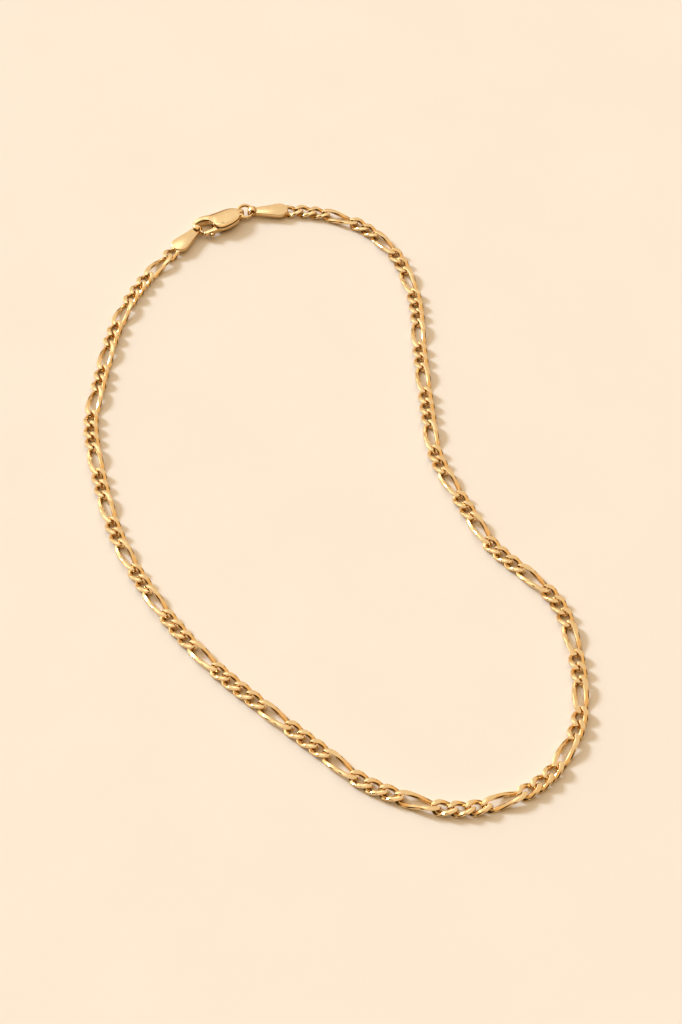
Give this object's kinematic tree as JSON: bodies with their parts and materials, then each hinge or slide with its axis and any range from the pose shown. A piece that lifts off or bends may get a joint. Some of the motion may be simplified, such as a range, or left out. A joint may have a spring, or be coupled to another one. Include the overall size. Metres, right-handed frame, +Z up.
{
  "type": "figaro chain necklace",
  "caption": "Gold figaro chain necklace lying closed, with flat curb links in short and long lengths, two end tags, a jump ring and a lobster clasp.",
  "frame": {"origin": "on the surface the necklace lies on, under the middle of its bounding box", "axes": "+Z up from the surface; +Y towards the clasp's end of the loop, along the loop's length; +X to the right seen from above"},
  "size_m": [0.1127, 0.1811, 0.0026],
  "materials": {
    "gold_links": "polished",
    "gold_tags": "polished",
    "gold_findings": "polished"
  },
  "bodies": {
    "necklace": {"chain_right": "gold_links", "chain_left": "gold_links", "ring_tag": "gold_tags", "hook_tag": "gold_tags", "jump_ring": "gold_findings", "clasp_body": "gold_findings", "lever_pin": "gold_findings"},
    "lever": {"clasp_lever": "gold_findings"}
  },
  "joints": [
    {"name": "lever_hinge", "type": "hinge", "parent": "necklace", "child": "lever", "pos_m": [-0.02593, 0.08226, 0.0013], "axis": [0, 0, -1], "range_deg": [0, 18], "stiffness_Nm_per_rad": 0.002, "springref_deg": -11.46}
  ]
}
